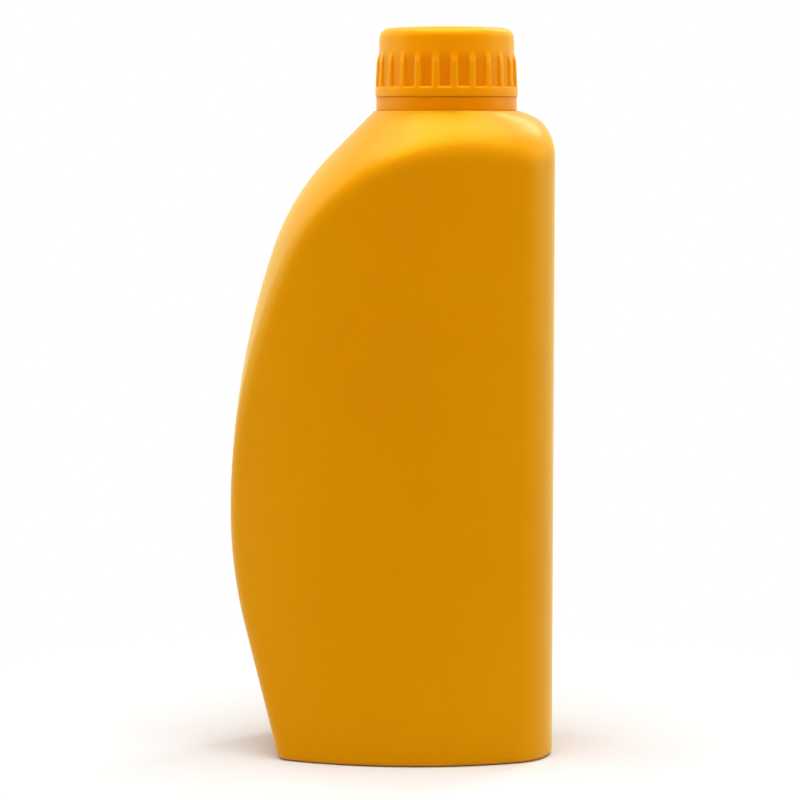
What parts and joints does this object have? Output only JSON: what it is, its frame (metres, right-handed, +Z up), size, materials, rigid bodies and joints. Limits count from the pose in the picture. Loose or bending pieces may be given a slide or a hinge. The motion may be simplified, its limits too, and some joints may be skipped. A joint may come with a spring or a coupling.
{
  "type": "motor oil bottle",
  "caption": "Blow-moulded oil bottle with a curved side, rounded spine and offset neck, closed by a ribbed screw cap over a tamper-evident band.",
  "frame": {"origin": "middle of the base on the surface the bottle stands on, centred between its two ends and between front and back", "axes": "+Z up, +X towards the rounded spine and the neck, -Y out of the front panel"},
  "size_m": [0.1042, 0.066, 0.234],
  "materials": {
    "bottle_plastic": "satin blow-moulded polyethylene, golden yellow",
    "cap_plastic": "satin moulded polypropylene, orange yellow",
    "liner_foam": "pale foamed sealing wad"
  },
  "bodies": {
    "bottle": {"bottle": "bottle_plastic", "tamper_ring": "cap_plastic"},
    "liner": {"cap_liner": "liner_foam"},
    "cap": {"screw_cap": "cap_plastic"}
  },
  "joints": [
    {"name": "cap_rise", "type": "slide", "parent": "bottle", "child": "liner", "axis": [0, 0, 1], "range_m": [0, 0.00601]},
    {"name": "cap_turn", "type": "hinge", "parent": "liner", "child": "cap", "pos_m": [0.0177, 0, 0.22], "axis": [0, 0, 1], "range_deg": [0, 540]}
  ],
  "couplings": [
    {"joint": "cap_rise", "follows": "cap_turn", "m_per_rad": 0.00063662}
  ]
}
